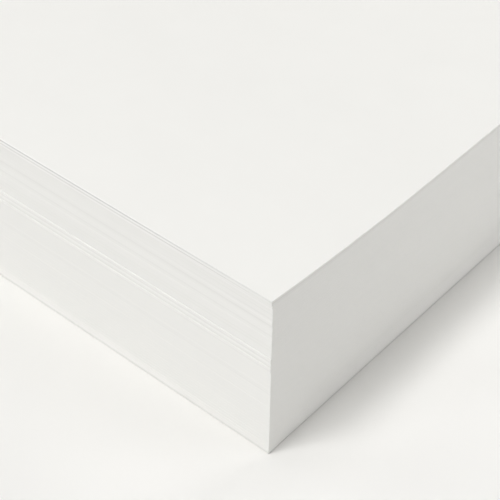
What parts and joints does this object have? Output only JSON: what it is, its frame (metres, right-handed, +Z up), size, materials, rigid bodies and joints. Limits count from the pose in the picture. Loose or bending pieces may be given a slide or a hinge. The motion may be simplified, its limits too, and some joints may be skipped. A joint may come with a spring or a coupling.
{
  "type": "pack of cardstock",
  "caption": "Squared pack of loose, blank off-white cardstock sheets, slightly curled up along the front edge.",
  "frame": {"origin": "middle of the underside of the bottom sheet", "axes": "+Z up through the pack, +X along the long side of the sheets, -Y towards the curled front edge"},
  "size_m": [0.2794, 0.2162, 0.0238],
  "materials": {
    "cardstock": "matte uncoated"
  },
  "bodies": {
    "root": {"sheet_01": "cardstock", "sheet_02": "cardstock", "sheet_03": "cardstock", "sheet_04": "cardstock", "sheet_05": "cardstock", "sheet_06": "cardstock", "sheet_07": "cardstock", "sheet_08": "cardstock", "sheet_09": "cardstock", "sheet_10": "cardstock", "sheet_11": "cardstock", "sheet_12": "cardstock", "sheet_13": "cardstock", "sheet_14": "cardstock", "sheet_15": "cardstock", "sheet_16": "cardstock", "sheet_17": "cardstock", "sheet_18": "cardstock", "sheet_19": "cardstock", "sheet_20": "cardstock", "sheet_21": "cardstock", "sheet_22": "cardstock", "sheet_23": "cardstock", "sheet_24": "cardstock", "sheet_25": "cardstock", "sheet_26": "cardstock", "sheet_27": "cardstock", "sheet_28": "cardstock", "sheet_29": "cardstock", "sheet_30": "cardstock", "sheet_31": "cardstock", "sheet_32": "cardstock", "sheet_33": "cardstock", "sheet_34": "cardstock", "sheet_35": "cardstock", "sheet_36": "cardstock", "sheet_37": "cardstock", "sheet_38": "cardstock", "sheet_39": "cardstock", "sheet_40": "cardstock", "sheet_41": "cardstock", "sheet_42": "cardstock", "sheet_43": "cardstock", "sheet_44": "cardstock", "sheet_45": "cardstock", "sheet_46": "cardstock", "sheet_47": "cardstock", "sheet_48": "cardstock", "sheet_49": "cardstock", "sheet_50": "cardstock"}
  },
  "joints": []
}
